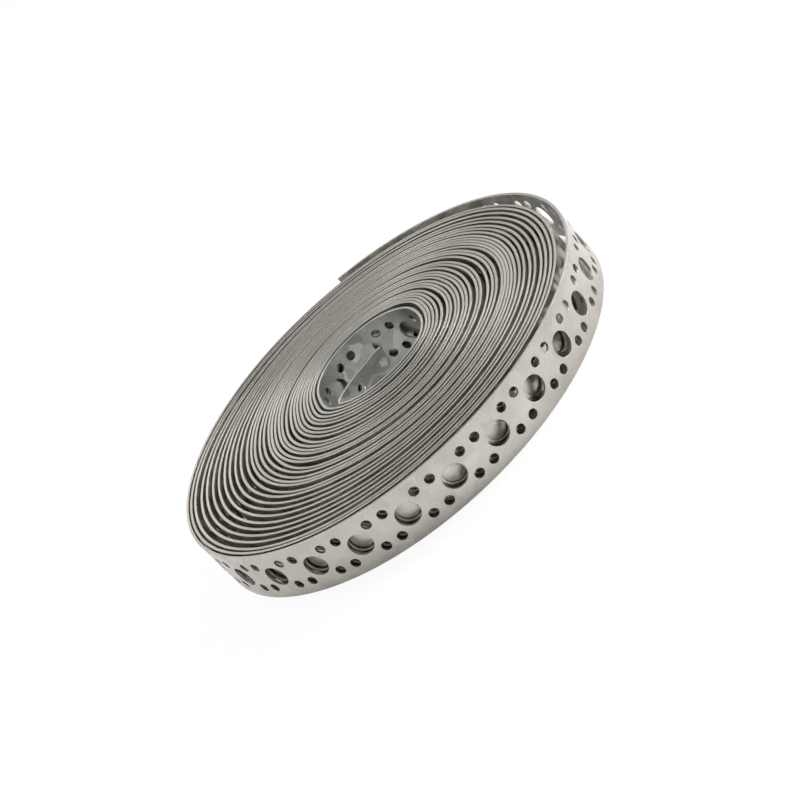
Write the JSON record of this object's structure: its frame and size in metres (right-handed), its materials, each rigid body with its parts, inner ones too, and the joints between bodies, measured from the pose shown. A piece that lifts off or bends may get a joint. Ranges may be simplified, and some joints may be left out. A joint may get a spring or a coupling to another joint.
{
  "type": "roll of perforated metal strap",
  "caption": "Roll of perforated galvanised steel fixing strap, lying on its end: a tightly wound pack with an open bore, a loose outer turn with a square cut end, and an inner end in the bore",
  "frame": {"origin": "middle of the roll's box in X and Y, on the lower end face", "axes": "+Z is the direction of the bore's axis and runs up from the lower end face; the loose outer turn's cut end is on the +Y side"},
  "size_m": [0.1664, 0.166, 0.02],
  "materials": {
    "galvanised_strap": "satin"
  },
  "bodies": {
    "root": {"strap": "galvanised_strap"}
  },
  "joints": []
}
